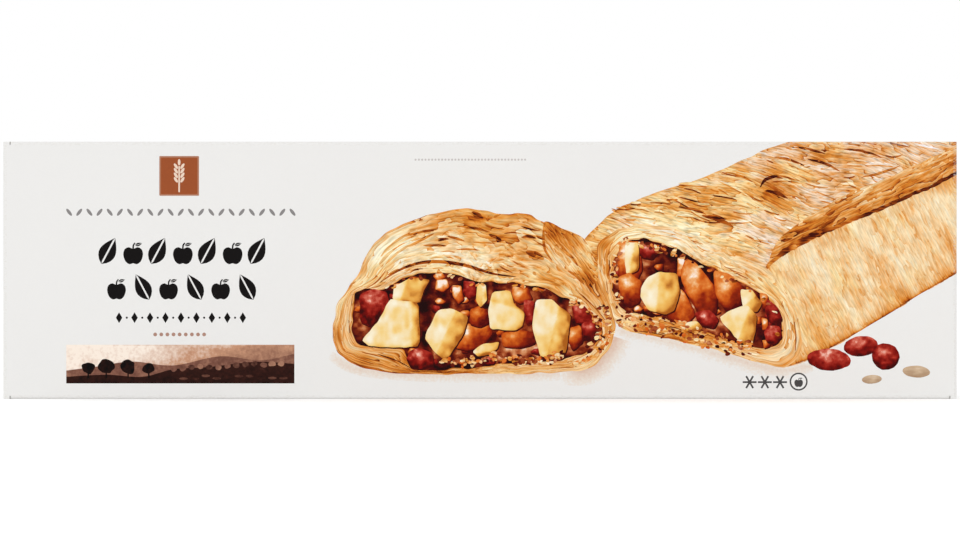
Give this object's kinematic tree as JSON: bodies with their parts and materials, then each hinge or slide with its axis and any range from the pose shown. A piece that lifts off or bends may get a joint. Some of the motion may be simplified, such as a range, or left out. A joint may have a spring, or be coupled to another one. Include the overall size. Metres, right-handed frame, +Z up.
{
  "type": "frozen apple strudel carton",
  "caption": "Shut, glued folding carton for one long frozen strudel, standing on its long narrow side, with a printed front.",
  "frame": {"origin": "middle of the carton's base, on the surface it stands on", "axes": "+X along the carton, to the right as its front is read; +Y from the printed front to the back; +Z up"},
  "size_m": [0.37, 0.055, 0.1],
  "materials": {
    "printed_board": "satin coated, printed in colour on the outside"
  },
  "bodies": {
    "root": {"carton": "printed_board"}
  },
  "joints": []
}
